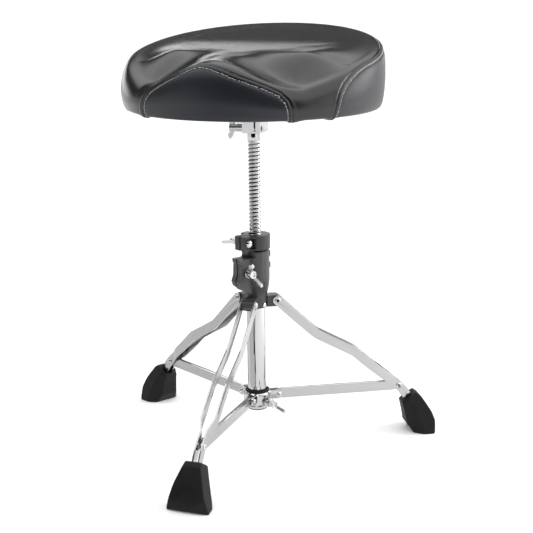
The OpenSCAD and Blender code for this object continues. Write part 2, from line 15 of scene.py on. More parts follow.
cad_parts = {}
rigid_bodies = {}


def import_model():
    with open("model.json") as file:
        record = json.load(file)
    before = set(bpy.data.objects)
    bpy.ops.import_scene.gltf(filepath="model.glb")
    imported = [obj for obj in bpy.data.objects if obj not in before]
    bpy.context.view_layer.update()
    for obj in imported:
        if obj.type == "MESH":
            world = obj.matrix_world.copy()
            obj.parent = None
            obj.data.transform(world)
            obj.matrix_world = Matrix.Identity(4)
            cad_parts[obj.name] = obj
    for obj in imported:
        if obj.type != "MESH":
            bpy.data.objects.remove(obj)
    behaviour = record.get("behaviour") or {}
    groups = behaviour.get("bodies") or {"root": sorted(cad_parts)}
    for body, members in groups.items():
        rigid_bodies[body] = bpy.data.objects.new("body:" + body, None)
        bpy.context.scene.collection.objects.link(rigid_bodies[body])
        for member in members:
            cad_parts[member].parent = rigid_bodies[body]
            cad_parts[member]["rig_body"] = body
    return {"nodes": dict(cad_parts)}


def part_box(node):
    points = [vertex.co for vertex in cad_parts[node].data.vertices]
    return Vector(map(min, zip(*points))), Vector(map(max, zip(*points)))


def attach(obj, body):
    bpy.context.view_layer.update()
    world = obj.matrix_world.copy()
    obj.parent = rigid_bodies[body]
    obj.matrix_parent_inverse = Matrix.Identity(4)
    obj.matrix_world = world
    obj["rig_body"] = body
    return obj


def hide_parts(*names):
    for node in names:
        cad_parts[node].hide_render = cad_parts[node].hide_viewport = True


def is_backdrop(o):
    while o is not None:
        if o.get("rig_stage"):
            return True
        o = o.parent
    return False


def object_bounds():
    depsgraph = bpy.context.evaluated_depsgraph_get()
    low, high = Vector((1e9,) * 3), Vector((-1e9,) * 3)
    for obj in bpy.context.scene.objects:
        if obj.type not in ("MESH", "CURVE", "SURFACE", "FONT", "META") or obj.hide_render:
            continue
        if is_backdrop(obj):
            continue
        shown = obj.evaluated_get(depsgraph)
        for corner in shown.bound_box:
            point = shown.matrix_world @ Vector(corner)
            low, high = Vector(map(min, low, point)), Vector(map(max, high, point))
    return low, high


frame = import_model()
cad_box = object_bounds()
MM = 0.001

TUBE_LOW, TUBE_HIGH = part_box("base_tube")
COLUMN = Vector(((TUBE_LOW.x + TUBE_HIGH.x) / 2, (TUBE_LOW.y + TUBE_HIGH.y) / 2, 0))
SEAT_LOW, SEAT_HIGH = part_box("seat_cover")


# ---------------------------------------------------------------- material tools


class Shader:
    """A material's node tree, with short calls for the nodes used here."""

    def __init__(self, name):
        self.material = bpy.data.materials.new(name)
        self.material.use_nodes = True
        self.tree = self.material.node_tree
        self.bsdf = self.tree.nodes["Principled BSDF"]
        self.where = self.tree.nodes.new("ShaderNodeTexCoord").outputs["Object"]

    def set(self, **values):
        """Sets inputs of the shader by their names, in lower case with underscores."""
        for key, value in values.items():
            self.bsdf.inputs[key.replace("_", " ").title().replace("Ior", "IOR")].default_value = value

    def node(self, kind, settings=None, **inputs):
        n = self.tree.nodes.new(kind)
        for key, value in (settings or {}).items():
            setattr(n, key, value)
        for key, value in inputs.items():
            self.feed(value, n.inputs[key])
        return n

    def feed(self, value, socket):
        if isinstance(value, bpy.types.NodeSocket):
            self.tree.links.new(value, socket)
        else:
            socket.default_value = value

    def stretched(self, x, y, z):
        """Object coordinates, scaled along each axis."""
        n = self.node("ShaderNodeMapping", Vector=self.where)
        n.inputs["Scale"].default_value = (x, y, z)
        return n.outputs["Vector"]

    def noise(self, scale, detail=3.0, rough=0.5, at=None):
        n = self.node("ShaderNodeTexNoise", Vector=at or self.where)
        n.inputs["Scale"].default_value = scale
        n.inputs["Detail"].default_value = detail
        n.inputs["Roughness"].default_value = rough
        return n.outputs["Fac"]

    def cells(self, scale, feature="F1", at=None):
        n = self.node("ShaderNodeTexVoronoi", {"feature": feature}, Vector=at or self.where)
        n.inputs["Scale"].default_value = scale
        return n.outputs["Distance"]

    def ramp(self, value, *stops):
        """A colour ramp; each stop is (place, grey or rgb)."""
        n = self.node("ShaderNodeValToRGB", Fac=value)
        elements = n.color_ramp.elements
        while len(elements) < len(stops):
            elements.new(0.5)
        for element, (place, colour) in zip(elements, stops):
            element.position = place
            rgb = (colour,) * 3 if isinstance(colour, (int, float)) else colour
            element.color = (*rgb, 1)
        return n.outputs["Color"]

    def span(self, value, low, high):
        """value, from 0 to 1, carried to the span from low to high."""
        n = self.node("ShaderNodeMapRange", Value=value)
        n.inputs["To Min"].default_value = low
        n.inputs["To Max"].default_value = high
        return n.outputs["Result"]

    def mix(self, factor, a, b):
        n = self.node("ShaderNodeMix", {"data_type": "RGBA"})
        self.feed(factor, n.inputs["Factor"])
        self.feed(a, n.inputs[6])
        self.feed(b, n.inputs[7])
        return n.outputs[2]

    def math(self, operation, a, b):
        n = self.node("ShaderNodeMath", {"operation": operation})
        self.feed(a, n.inputs[0])
        self.feed(b, n.inputs[1])
        return n.outputs[0]

    def bump(self, *layers):
        """Bump from (height, depth in metres, strength) layers, each on top of the last."""
        normal = None
        for height, depth, strength in layers:
            n = self.node("ShaderNodeBump", Height=height)
            n.inputs["Distance"].default_value = depth
            n.inputs["Strength"].default_value = strength
            if normal:
                self.feed(normal, n.inputs["Normal"])
            normal = n.outputs["Normal"]
        self.feed(normal, self.bsdf.inputs["Normal"])

    def colour(self, value):
        self.feed(value, self.bsdf.inputs["Base Color"])

    def roughness(self, value):
        self.feed(value, self.bsdf.inputs["Roughness"])


# ---------------------------------------------------------------- materials


def vinyl(name, low, high, rough):
    """Upholstery vinyl: fine pebbled grain, broad soft sheen, slight unevenness."""
    s = Shader(name)
    patches = s.noise(9, 4)
    s.colour(s.ramp(patches, (0.3, low), (0.75, high)))
    s.roughness(s.span(s.noise(60, 5), rough - 0.02, rough + 0.03))
    s.set(specular_ior_level=0.5)
    pebbles = s.cells(820)
    creases = s.noise(420, 6, 0.6)
    swell = s.noise(26, 2)
    s.bump((swell, 0.0004, 0.1), (pebbles, 0.00007, 0.25), (creases, 0.00005, 0.2))
    return s.material


def chrome(name, tint, rough):
    """Chrome plate: nearly clean, with faint waviness and a few handling smears."""
    s = Shader(name)
    s.set(metallic=1.0)
    smears = s.noise(45, 6, 0.65)
    hazed, clean = (tint * 0.93, tint * 0.94, tint * 0.96), (tint, tint, tint * 1.01)
    s.colour(s.ramp(smears, (0.25, hazed), (0.7, clean)))
    s.roughness(s.span(smears, rough * 0.6, rough * 1.9))
    s.bump((s.noise(38, 2), 0.0005, 0.10), (s.noise(900, 3), 0.00003, 0.15))
    return s.material


def cast_paint(name):
    """Satin black powder coat over a casting: orange peel and lighter, worn edges."""
    s = Shader(name)
    edges = s.node("ShaderNodeNewGeometry").outputs["Pointiness"]
    worn = s.ramp(edges, (0.5, 0.0), (0.62, 1.0))
    scuffs = s.math("MULTIPLY", worn, s.noise(240, 5, 0.7))
    base = s.ramp(s.noise(70, 4), (0.3, (0.010, 0.010, 0.011)), (0.8, (0.018, 0.018, 0.020)))
    s.colour(s.mix(scuffs, base, (0.07, 0.07, 0.075, 1)))
    s.roughness(s.span(s.noise(350, 4), 0.36, 0.52))
    s.set(specular_ior_level=0.5)
    s.bump((s.cells(900, "SMOOTH_F1"), 0.00025, 0.28), (s.noise(2200, 2), 0.00008, 0.25))
    return s.material


def rubber(name):
    """Moulded black rubber: matt, finely speckled, with a dusty bloom."""
    s = Shader(name)
    bloom = s.noise(55, 6, 0.7)
    s.colour(s.ramp(bloom, (0.35, (0.006, 0.006, 0.0065)), (0.8, (0.012, 0.012, 0.0125))))
    s.roughness(s.span(s.noise(180, 4), 0.48, 0.68))
    s.set(specular_ior_level=0.2)
    s.bump((s.noise(1400, 4, 0.6), 0.00016, 0.35), (s.cells(500), 0.0001, 0.15))
    return s.material


def zinc(name):
    """Bright zinc plate: slightly yellow-grey, finely brushed."""
    s = Shader(name)
    s.set(metallic=1.0)
    brushed = s.noise(320, 3, 0.6, s.stretched(1, 1, 8))
    s.colour(s.ramp(brushed, (0.3, (0.60, 0.60, 0.58)), (0.75, (0.74, 0.74, 0.72))))
    s.roughness(s.span(brushed, 0.2, 0.36))
    s.bump((brushed, 0.00005, 0.2))
    return s.material


def nylon(name):
    """Moulded black nylon with a spark-eroded finish."""
    s = Shader(name)
    s.colour(s.ramp(s.noise(90, 3), (0.3, 0.018), (0.8, 0.030)))
    s.roughness(s.span(s.noise(400, 3), 0.38, 0.55))
    s.bump((s.noise(1600, 3), 0.0001, 0.3))
    return s.material


def plywood(name):
    """Birch plywood: plies stacked in height, grain along x."""
    s = Shader(name)
    grain = s.noise(60, 6, 0.6, s.stretched(1, 9, 1))
    plies = s.node("ShaderNodeTexWave", {"bands_direction": "Z"}, Vector=s.where)
    plies.inputs["Scale"].default_value = 190
    plies.inputs["Distortion"].default_value = 0.4
    light = s.ramp(grain, (0.3, (0.42, 0.29, 0.16)), (0.75, (0.62, 0.46, 0.28)))
    s.colour(s.mix(s.span(plies.outputs["Fac"], 0.0, 0.45), light, (0.27, 0.17, 0.09, 1)))
    s.roughness(s.span(grain, 0.55, 0.75))
    s.bump((grain, 0.0003, 0.3))
    return s.material


def cloth(name):
    """Black non-woven dust cloth: matted fibres and small embossed dots."""
    s = Shader(name)
    fibres = s.noise(900, 6, 0.75)
    s.colour(s.ramp(fibres, (0.3, 0.010), (0.75, 0.030)))
    s.roughness(s.span(fibres, 0.8, 0.95))
    s.set(sheen_weight=0.3, sheen_roughness=0.5)
    s.bump((fibres, 0.0003, 0.5), (s.cells(450), 0.0002, 0.4))
    return s.material


def thread(name):
    """Pale polyester sewing thread, twisted."""
    s = Shader(name)
    twist = s.noise(2600, 2, 0.5, s.stretched(1, 1, 0.4))
    s.colour(s.ramp(twist, (0.3, (0.40, 0.40, 0.39)), (0.7, (0.62, 0.62, 0.60))))
    s.roughness(s.span(twist, 0.5, 0.7))
    s.set(sheen_weight=0.3, sheen_roughness=0.4)
    s.bump((twist, 0.0001, 0.4))
    return s.material


def pale_floor(name):
    """Studio floor: seamless white paper with the faintest tooth."""
    s = Shader(name)
    s.colour(s.ramp(s.noise(3, 2), (0.3, 0.86), (0.7, 0.88)))
    s.roughness(s.span(s.noise(700, 3), 0.8, 0.9))
    s.set(emission_color=(1, 1, 1, 1), emission_strength=0.08)
    s.bump((s.noise(900, 3), 0.0001, 0.2))
    return s.material


MATERIALS = {
    "vinyl_top": vinyl("vinyl_top", (0.0075, 0.0075, 0.008), (0.011, 0.011, 0.0115), 0.25),
    # the nose panel's copy of the side vinyl is painted darker and bluer: painted shade and a painted bluish
    # reflection on the side that faces the camera
    "vinyl_nose_shaded": vinyl("vinyl_nose_shaded", (0.0040, 0.0060, 0.0105), (0.006, 0.0085, 0.014), 0.40),
    # the rear panel's copy of the same side vinyl is painted lighter: painted light on the side that faces
    # the key lamp
    "vinyl_rear_lit": vinyl("vinyl_rear_lit", (0.013, 0.014, 0.017), (0.019, 0.020, 0.023), 0.44),
    "chrome": chrome("chrome", 0.55, 0.05),
    "chrome_wing": chrome("chrome_wing", 0.58, 0.2),
    "chrome_plate": chrome("chrome_plate", 0.45, 0.15),
    "chrome_cast": chrome("chrome_cast", 0.50, 0.12),
    "black_casting": cast_paint("black_casting"),
    "rubber": rubber("rubber"),
    "zinc_steel": zinc("zinc_steel"),
    "nylon": nylon("nylon"),
    "plywood": plywood("plywood"),
    "dust_cloth": cloth("dust_cloth"),
    "thread": thread("thread"),
}


def dress(obj, *names):
    """Gives obj these materials, and no others."""
    obj.data.materials.clear()
    for name in names:
        obj.data.materials.append(MATERIALS[name])


# ---------------------------------------------------------------- mesh tools


def mesh_object(name, points, faces):
    mesh = bpy.data.meshes.new(name)
    mesh.from_pydata([tuple(p) for p in points], [], [tuple(f) for f in faces])
    mesh.validate()
    obj = bpy.data.objects.new(name, mesh)
    bpy.context.scene.collection.objects.link(obj)
    return obj


def apply_modifiers(obj):
    """Replaces obj's mesh by what its modifiers make of it."""
    graph = bpy.context.evaluated_depsgraph_get()
    made = bpy.data.meshes.new_from_object(obj.evaluated_get(graph))
    obj.modifiers.clear()
    obj.data = made


def shade(obj, angle=35):
    """Smooth shading, with hard edges above an angle in degrees."""
    obj.data.shade_smooth()
    obj.data.set_sharp_from_angle(angle=math.radians(angle))
    return obj


def copy_of(node):
    """A new piece with a CAD node's own shape, its flat faces made whole again."""
    source = frame["nodes"][node]
    mesh = source.data.copy()
    obj = bpy.data.objects.new(node + "_finished", mesh)
    bpy.context.scene.collection.objects.link(obj)
    if mesh.has_custom_normals:
        bpy.context.view_layer.objects.active = obj
        with bpy.context.temp_override(object=obj, active_object=obj):
            bpy.ops.mesh.customdata_custom_splitnormals_clear()
    bm = bmesh.new()
    bm.from_mesh(mesh)
    bmesh.ops.remove_doubles(bm, verts=bm.verts, dist=2e-6)
    bmesh.ops.dissolve_limit(
        bm, angle_limit=math.radians(0.6), verts=bm.verts, edges=bm.edges
    )
    bm.to_mesh(mesh)
    bm.free()
    return obj


def body_of(node):
    return frame["nodes"][node]["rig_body"]


def stands_for(piece, node, slot_name, *materials):
    """The piece takes a CAD node's place, body and finish."""
    dress(piece, *materials)
    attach(piece, body_of(node))
    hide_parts(node)
    return piece


def bevelled(node, slot_name, material, width, segments=3):
    """A CAD node with its edges broken, as they are after casting, pressing and plating."""
    obj = copy_of(node)
    edge = obj.modifiers.new("edge", "BEVEL")
    edge.width = width
    edge.segments = segments
    edge.limit_method = "ANGLE"
    edge.angle_limit = math.radians(28)
    edge.use_clamp_overlap = True
    apply_modifiers(obj)
    shade(obj)
    return stands_for(obj, node, slot_name, material)


def cast(node, slot_name, material, voxel, rounds):
    """A CAD node as a casting: remeshed in voxels and smoothed, so every edge and corner melts together."""
    obj = copy_of(node)
    grid = obj.modifiers.new("grid", "REMESH")
    grid.mode = "VOXEL"
    grid.voxel_size = voxel
    soft = obj.modifiers.new("soft", "SMOOTH")
    soft.factor = 0.5
    soft.iterations = rounds
    apply_modifiers(obj)
    obj.data.shade_smooth()
    return stands_for(obj, node, slot_name, material)


# ---------------------------------------------------------------- hardware


def threaded_rod():
    """The post with its real right-hand thread, spun round the column."""
    low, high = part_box("threaded_rod")
    radius = (high.x - low.x) / 2
    pitch, depth = 6.5 * MM, 1.8 * MM
    thread_low, thread_high = low.z + 24 * MM, high.z - 46 * MM
    run_in, run_out = 4 * MM, 5 * MM
    spigot, spigot_top = 8 * MM, low.z + 18 * MM
    around, step = 72, 0.42 * MM
    heights = [low.z, low.z + 0.8 * MM, spigot_top - 0.01 * MM, spigot_top, spigot_top + 1 * MM]
    heights += list(np.arange(thread_low - 2 * MM, thread_high + 2 * MM, step))
    heights += [high.z - 1.5 * MM, high.z]
    z = np.array(heights)
    theta = np.linspace(0, 2 * np.pi, around, endpoint=False)
    zz, tt = np.meshgrid(z, theta, indexing="ij")
    turn = ((zz - thread_low) / pitch - tt / (2 * np.pi)) % 1.0
    groove = 1 - (0.5 + 0.5 * np.cos(2 * np.pi * turn)) ** 1.15
    share = np.clip((zz - thread_low) / run_in, 0, 1) * np.clip((thread_high - zz) / run_out, 0, 1)
    r = radius - depth * groove * share
    r[0] = spigot - 0.8 * MM
    r[1:3] = spigot
    r[3] = radius - 1 * MM
    r[-1] = radius - 1.2 * MM
    x = COLUMN.x + r * np.cos(tt)
    y = COLUMN.y + r * np.sin(tt)
    points = np.stack([x, y, zz], -1).reshape(-1, 3).tolist()
    faces = []
    for k in range(len(z) - 1):
        for i in range(around):
            j = (i + 1) % around
            here, above = k * around, (k + 1) * around
            faces.append((here + i, here + j, above + j, above + i))
    faces.append(tuple(reversed(range(around))))
    faces.append(tuple((len(z) - 1) * around + i for i in range(around)))
    rod = shade(mesh_object("threaded_rod_helix", points, faces), 50)
    return stands_for(rod, "threaded_rod", "chrome", "chrome")


def lathe(profile, centre, axis, steps=32):
    """Points and faces of a closed outline of (along, radius) pairs, spun round an axis through centre."""
    axis = Vector(axis).normalized()
    side = axis.orthogonal().normalized()
    other = axis.cross(side)
    points, faces = [], []
    for along, radius in profile:
        for k in range(steps):
            w = 2 * math.pi * k / steps
            out = side * math.cos(w) + other * math.sin(w)
            points.append(Vector(centre) + axis * along + out * radius)
    rows = len(profile)
    for a in range(rows):
        for k in range(steps):
            j = (k + 1) % steps
            b = (a + 1) % rows
            faces.append((a * steps + k, a * steps + j, b * steps + j, b * steps + k))
    return points, faces


def across_leg(place):
    """The level direction across the leg that passes over a place."""
    out = Vector((place[0] - COLUMN.x, place[1] - COLUMN.y, 0)).normalized()
    return Vector((-out.y, out.x, 0))


def rivets(node, places, profile):
    """Hollow rivets across the legs, rolled over at both ends, in place of a CAD node's plain ones. The
    profile is in millimetres."""
    half = [(along * MM, radius * MM) for along, radius in profile]
    points, faces = [], []
    for place in places:
        for sign in (1, -1):
            more, quads = lathe(half, place, across_leg(place) * sign)
            faces += [tuple(len(points) + k for k in quad) for quad in quads]
            points += more
    piece = mesh_object(node + "_rolled", points, faces)
    bm = bmesh.new()
    bm.from_mesh(piece.data)
    bmesh.ops.recalc_face_normals(bm, faces=bm.faces)
    bm.to_mesh(piece.data)
    bm.free()
    shade(piece, 40)
    return stands_for(piece, node, "zinc_steel", "zinc_steel")


def rolled(inner, face, head, shank):
    """The outline of half a hollow rivet in millimetres: inner is where its shank starts, face where its
    head bears, head and shank are radii."""
    bore = head - 2.9
    roll = [(0.7, 0), (1.5, 0.7), (1.9, 1.4), (1.7, 2.1), (0.9, 2.6)]
    return [(inner, bore - 0.4), (inner, shank), (face, shank), (face, head),
            *((face + out, head - turned_in) for out, turned_in in roll), (face - 0.8, bore)]


def hollow_rivets():
    """The rivets of the legs, and the pins at their tops and at the braces' hub ends."""
    for k in (1, 2, 3):
        low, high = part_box(f"leg_{k}_rivets")
        rivets(f"leg_{k}_rivets", [(low + high) / 2], rolled(3.75, 6.45, 5, 2.9))
    for node, inner, face, head, shank in (("leg_pins", 8, 13.6, 5, 2.9), ("hub_pins", 4, 8.05, 4, 2.4)):
        low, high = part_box(node)
        reach, height = COLUMN.y - low.y - head * MM, (low.z + high.z) / 2
        places = [Vector((COLUMN.x + reach * math.cos(a), COLUMN.y + reach * math.sin(a), height))
                  for a in map(math.radians, (-90, 30, 150))]
        rivets(node, places, rolled(inner, face, head, shank))


def hardware():
    """Every CAD node but those of the seat's cover, foam and dust cloth, finished as it is made."""
    threaded_rod()
    hollow_rivets()
    bevelled("base_tube", "chrome", "chrome", 0.4 * MM)
    bevelled("tube_cap", "nylon", "nylon", 0.4 * MM)
    bevelled("leg_bracket", "black_casting", "black_casting", 0.8 * MM)
    bevelled("thread_insert", "nylon", "nylon", 0.5 * MM)
    bevelled("memory_clamp", "black_casting", "black_casting", 1.2 * MM)
    bevelled("seat_clamp", "chrome", "chrome_cast", 0.8 * MM)
    cast("lower_hub", "chrome", "chrome_cast", 0.55 * MM, 4)
    for node in ("collar_wing_bolt", "memory_wing_nut", "hub_wing_bolt", "seat_wing_bolt"):
        cast(node, "chrome", "chrome_wing", 0.4 * MM, 4)
    bevelled("memory_bolt", "chrome", "chrome", 0.4 * MM)
    bevelled("collar_washer", "chrome", "chrome", 0.3 * MM)
    for node in ("bracket_rivets", "collar_nut", "memory_washer", "clamp_bolts", "tee_nuts", "rod_clip"):
        bevelled(node, "zinc_steel", "zinc_steel", 0.3 * MM, 2)
    bevelled("rod_bush", "nylon", "nylon", 0.4 * MM)
    for k in (1, 2, 3):
        for side in ("left", "right"):
            bevelled(f"leg_{k}_{side}", "chrome", "chrome_plate", 0.6 * MM)
        bevelled(f"leg_{k}_spacer", "zinc_steel", "zinc_steel", 0.3 * MM)
        bevelled(f"brace_{k}", "chrome", "chrome_plate", 0.5 * MM)
        cast(f"foot_{k}", "rubber", "rubber", 1.2 * MM, 14)
    bevelled("seat_board", "plywood", "plywood", 1.2 * MM)
    dress(frame["nodes"]["hub_ring"], "rubber")


# ---------------------------------------------------------------- seat

# each seam's way up the side: (degrees from the nose, height in millimetres)
NOSE_SEAM = [(0, 681.5), (2.5, 681), (5, 679.5), (10, 674.5), (16, 666), (22, 658), (28, 649),
             (33, 640), (36, 628), (37.4, 612), (37.8, 596)]
REAR_SEAM = [(56.5, 596), (56.8, 610), (57.6, 625), (59.4, 638), (62.2, 649), (66, 658.5),
             (71, 667), (78, 675.5), (86, 683), (200, 790)]
NOSE_END = 38.6        # the nose seam ends this many degrees to either side
NOSE_LEAN = 3          # its peak lies this many degrees to the sitter's right
RIM_DROP = 2.5         # the rear seam runs this far below the crest
FAR_SIDE = 9           # on the sitter's right the rear panel starts this many degrees further back
SEWN_IN = 16           # how far a seam shapes the cover to either side
STITCH_IN = 7.5        # from a seam to its row of stitches
STITCH = 5.0           # from one stitch to the next
STITCH_SHARE = 0.37    # half the length of one stitch, as a share of STITCH
THREAD_R = 0.52        # radius of the thread
SWELL_CAP = 6.0        # no simulated move is taken to be longer
SETTLED = 0.3          # share of the simulated swell that is left once the cover is drawn tight
DRAWN_IN = 2.4         # how far the swell is first drawn in, away from the seams
RIPPLES_OUT = 24       # passes that draw the small ripples out of the simulated moves
HEM_DIP = 2.6          # how far the hem dips where a seam runs out of it


def smooth(t):
    t = np.clip(t, 0, 1)
    return t * t * (3 - 2 * t)


def from_nose(phi):
    """Degrees from the nose, the same to either side."""
    return np.abs((phi + 180) % 360 - 180)


def unit(v):
    return v / np.maximum(np.linalg.norm(v, axis=-1, keepdims=True), 1e-9)


class Seat:
    """The saddle's shape in millimetres about the column.

    phi is in degrees from the nose, rising to the sitter's left. Row 0 is the hem under the board, row 9 the
    crest of the rim, and the last row is near the middle of the top."""

    cols = 960
    crest = 9
    low = SEAT_LOW.z / MM
    half_w = (SEAT_HIGH.x - SEAT_LOW.x) / 2 / MM
    half_d = (SEAT_HIGH.y - SEAT_LOW.y) / 2 / MM
    rear = SEAT_HIGH.z / MM
    nose, thigh, crease = rear - 40, rear - 81, rear - 27   # heights: the rim's front and dips, the crease
    thigh_at = 44               # degrees from the nose to the dips of the rim

    crease_back = 50            # the crease crosses the ridge this far behind the column
    bend = 14                   # how softly the ridge bends there
    ridge_from = 170            # the ridge starts to climb this far ahead of the column
    ridge_over = 220            # and has climbed from the nose's height to the crease's over this length
    rear_slope = 0.141          # its further climb behind the crease
    hollow_depth = 42           # of the hollow for each thigh
    hollow_from, hollow_over = 54, 80       # it starts this far forward, and is full this much further on
    hollow_side, hollow_wide = 22, 100      # the same, sideways

    # the side, from the hem to the crest: (distance in from the outline, share of the rim's height)
    firm_side = [(41, 0.004), (26, 0.0), (7.5, 0.0), (2.5, 0.04), (0.5, 0.2), (0, 0.5),
                 (1.2, 0.76), (3.5, 0.89), (8, 0.965), (17, 1.0)]
    soft_side = [(41, 0.004), (26, 0.0), (7.5, 0.0), (2.5, 0.045), (0.8, 0.18), (0, 0.38),
                 (2.5, 0.6), (8, 0.79), (17, 0.93), (32, 1.0)]
    round_hem = (0, 0, 9, 5.5, 2.5, 0.4, 0, 0, 0, 0)    # each of these further in, at the left and the right
    # the rows of the top, as shares of the way out to the crest
    shares = (0.95, 0.89, 0.81, 0.73, 0.65, 0.57, 0.48, 0.39, 0.29, 0.18, 0.07)
    last = len(firm_side) + len(shares) - 1

    def outline(self, phi):
        """Radius of the oval that the seat fills, seen from above."""
        s, c = np.sin(np.radians(phi)), np.cos(np.radians(phi))
        return self.half_w * self.half_d / np.sqrt((self.half_d * s) ** 2 + (self.half_w * c) ** 2)

    def rim(self, phi):
        """Height of the crest: down from the nose to the thighs, and up again to the rear."""
        p = from_nose(phi)
        fall = 0.5 + 0.5 * np.cos(np.pi * np.minimum(p / self.thigh_at, 1))
        behind = np.clip((p - self.thigh_at) / (180 - self.thigh_at), 0, 1)
        rise = 0.5 - 0.5 * np.cos(np.pi * behind**0.605)
        front = self.thigh + (self.nose - self.thigh) * fall
        return np.where(p < self.thigh_at, front, self.thigh + (self.rear - self.thigh) * rise)

    def plane(self, f, l):
        """Height of the sitting surface without its rim, at f ahead of the column and l to its side: a ridge
        that climbs from the nose to a straight crease and on to the rear, and a hollow for each thigh."""
        back = -self.crease_back - f
        climb = self.bend * np.log1p(np.exp(np.clip(back / self.bend, -30, 30)))
        gentle = (self.crease - self.nose) * np.clip((self.ridge_from - f) / self.ridge_over, 0, None)
        ridge = self.nose + gentle + self.rear_slope * climb
        forward = smooth((f - self.hollow_from) / self.hollow_over)
        sideways = smooth((np.abs(l) - self.hollow_side) / self.hollow_wide)
        return ridge - self.hollow_depth * forward * sideways

    def top(self, phi, s, edge):
        """Height of the sitting surface at share s of the way out to the crest, which has radius edge. From
        share start on it climbs to the crest."""
        c, d = np.cos(np.radians(phi)), np.sin(np.radians(phi))
        f, l = s * edge * c, s * edge * d
        start = 0.66 - 0.18 * smooth((from_nose(phi) - 80) / 60)
        climb = np.sin(np.pi / 2 * np.clip((s - start) / (1 - start), 0, 1)) ** 1.45
        return self.plane(f, l) + (self.rim(phi) - self.plane(edge * c, edge * d)) * climb

    def rows(self, phi):
        """Rows of (radius, height) from the hem to the middle, for an array of phi."""
        outline, rim = self.outline(phi), self.rim(phi)
        softness = 1 - smooth((from_nose(phi) - 50) / 45)
        sideways = np.sin(np.radians(phi)) ** 2
        rows = []
        for (a, g), (b, h), more in zip(self.firm_side, self.soft_side, self.round_hem):
            inward = a + (b - a) * softness + more * sideways
            rows.append((outline - inward, self.low + (g + (h - g) * softness) * (rim - self.low)))
        edge = rows[-1][0]
        rows += [(s * edge, self.top(phi, s, edge)) for s in self.shares]
        return np.array(rows)

    def points(self, phi, v):
        """Points of the smooth shape at angles phi and rows v, arrays of one shape: a Catmull-Rom curve
        through the rows."""
        rows = self.rows(phi.ravel())
        n = len(rows)
        i = np.clip(v.ravel().astype(int), 0, n - 2)
        u = (v.ravel() - i)[None]
        pick = np.arange(phi.size)
        p0, p1, p2, p3 = (rows[np.clip(i + k, 0, n - 1), :, pick].T for k in (-1, 0, 1, 2))
        curve = 0.5 * (2 * p1 + (p2 - p0) * u + (2 * p0 - 5 * p1 + 4 * p2 - p3) * u**2
                       + (3 * p1 - p0 - 3 * p2 + p3) * u**3)
        angle = np.radians(phi.ravel())
        out = np.stack([curve[0] * np.sin(angle), -curve[0] * np.cos(angle), curve[1]], -1)
        return out.reshape(*phi.shape, 3)

    def row_at(self, phi, z):
        """The row, between the hem and the crest, at which the outer side reaches height z."""
        v = np.linspace(2, self.crest, 200)
        heights = self.points(np.repeat(phi[:, None], len(v), 1), np.repeat(v[None], len(phi), 0))[..., 2]
        wanted = np.minimum(z, heights[:, -1] - 0.01)
        return v[np.argmax(heights >= wanted[:, None], axis=1)]


class Seam:
    """A sewn line over the seat's side, in steps of one millimetre along rising phi. inward points across
    it, to the panel that it closes and that carries its stitches."""

    def __init__(self, shape, phi, z):
        v = shape.row_at(phi, z)
        line = shape.points(phi, v)
        length = np.concatenate([[0], np.cumsum(np.linalg.norm(np.diff(line, axis=0), axis=1))])
        at = np.arange(0, length[-1], 1.0)
        self.points = np.stack([np.interp(at, length, line[:, k]) for k in range(3)], -1)
        phi, v = np.interp(at, length, phi), np.interp(at, length, v)
        up = shape.points(phi, v + 0.05) - shape.points(phi, v - 0.05)
        round_the_seat = shape.points(phi + 0.2, v) - shape.points(phi - 0.2, v)
        self.along = unit(np.gradient(self.points, axis=0))
        self.inward = unit(np.cross(self.along, unit(np.cross(round_the_seat, up))))


def seams(shape):
    """The seam round the nose panel, and the one round the rear panel."""
    nose = np.array(NOSE_SEAM)
    phi = np.linspace(-NOSE_END, NOSE_END, 400)
    lean = NOSE_LEAN * (1 - smooth(np.abs(phi) / 40))
    yield Seam(shape, phi, np.interp(np.abs(phi + lean), nose[:, 0], nose[:, 1]))
    rear = np.array(REAR_SEAM)
    start = REAR_SEAM[0][0]
    phi = np.linspace(start, 360 - start - FAR_SIDE, 900)
    p = np.where(phi < 180, phi, np.minimum(360 - phi - FAR_SIDE, 180))
    under = shape.rim(phi) - RIM_DROP
    z = np.minimum(np.interp(p, rear[:, 0], rear[:, 1]), under)
    yield Seam(shape, phi, z + (under - z) * smooth((p - 66) / 22))


def grid_faces(rows, cols):
    """Quads of a grid of rows that each close into a ring."""
    k, i = np.meshgrid(np.arange(rows - 1), np.arange(cols), indexing="ij")
    j = (i + 1) % cols
    return np.stack([k * cols + i, k * cols + j, (k + 1) * cols + j, (k + 1) * cols + i], -1).reshape(-1, 4)


def cap_faces(rows, cols):
    """Triangles from the last row of such a grid to one point after it."""
    last = (rows - 1) * cols
    return [(last + i, last + (i + 1) % cols, rows * cols) for i in range(cols)]


def tree_of(places):
    tree = KDTree(len(places))
    for k, place in enumerate(places):
        tree.insert(place, k)
    tree.balance()
    return tree


def nearest(points, targets):
    """For each point, the index of the nearest target and the distance to it."""
    tree = tree_of(targets)
    found = [tree.find(p)[1:] for p in points]
    return np.array([f[0] for f in found]), np.array([f[1] for f in found])


def grid_normals(points):
    across = np.roll(points, -1, axis=1) - np.roll(points, 1, axis=1)
    up = np.gradient(points, axis=0)
    return unit(np.cross(across, up))


